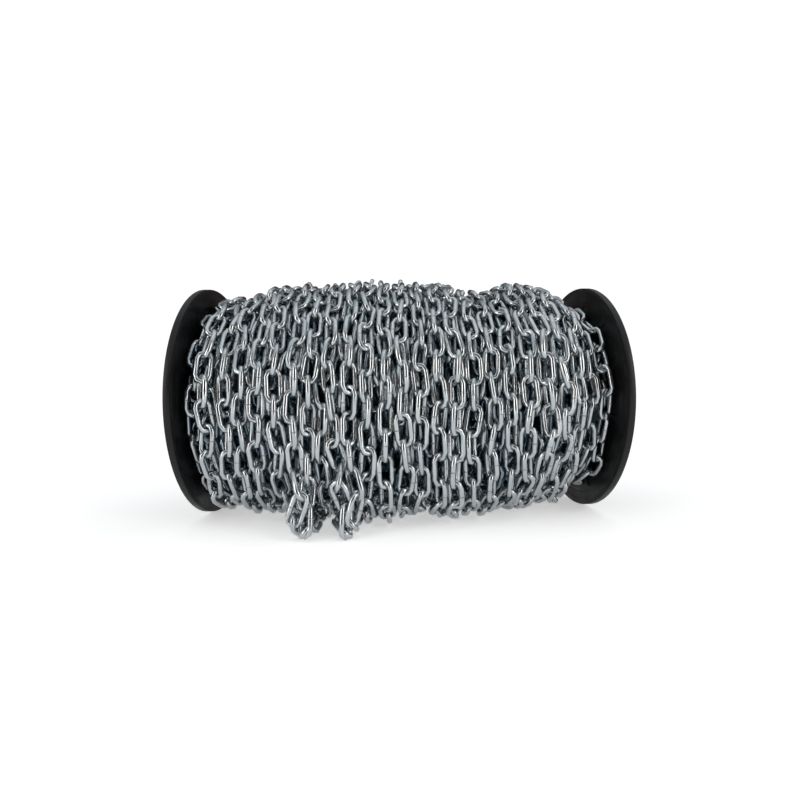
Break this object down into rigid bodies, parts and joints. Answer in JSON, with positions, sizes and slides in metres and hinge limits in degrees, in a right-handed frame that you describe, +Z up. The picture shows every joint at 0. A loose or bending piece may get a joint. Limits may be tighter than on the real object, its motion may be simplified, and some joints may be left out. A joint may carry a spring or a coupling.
{
  "type": "reel of steel link chain",
  "caption": "Black plastic reel wound full of bright zinc-plated welded steel link chain, lying on its flanges with slack chain on the floor in front.",
  "frame": {"origin": "on the floor under the middle of the reel, at the centre of the bounding box's base", "axes": "+X along the reel's axis from the left flange to the right flange, -Y towards the front where the slack chain hangs down, +Z up"},
  "size_m": [0.245, 0.1557, 0.149],
  "materials": {
    "black_plastic": "moulded black plastic with a satin sheen and fine scuffs",
    "zinc_chain": "bright zinc plating, slightly blue"
  },
  "bodies": {
    "root": {"left_flange": "black_plastic", "right_flange": "black_plastic", "barrel": "black_plastic", "chain_inner_layers": "zinc_chain", "chain_outer_layer": "zinc_chain", "slack_chain_1": "zinc_chain", "slack_chain_2": "zinc_chain", "slack_chain_3": "zinc_chain", "slack_chain_4": "zinc_chain"}
  },
  "joints": []
}
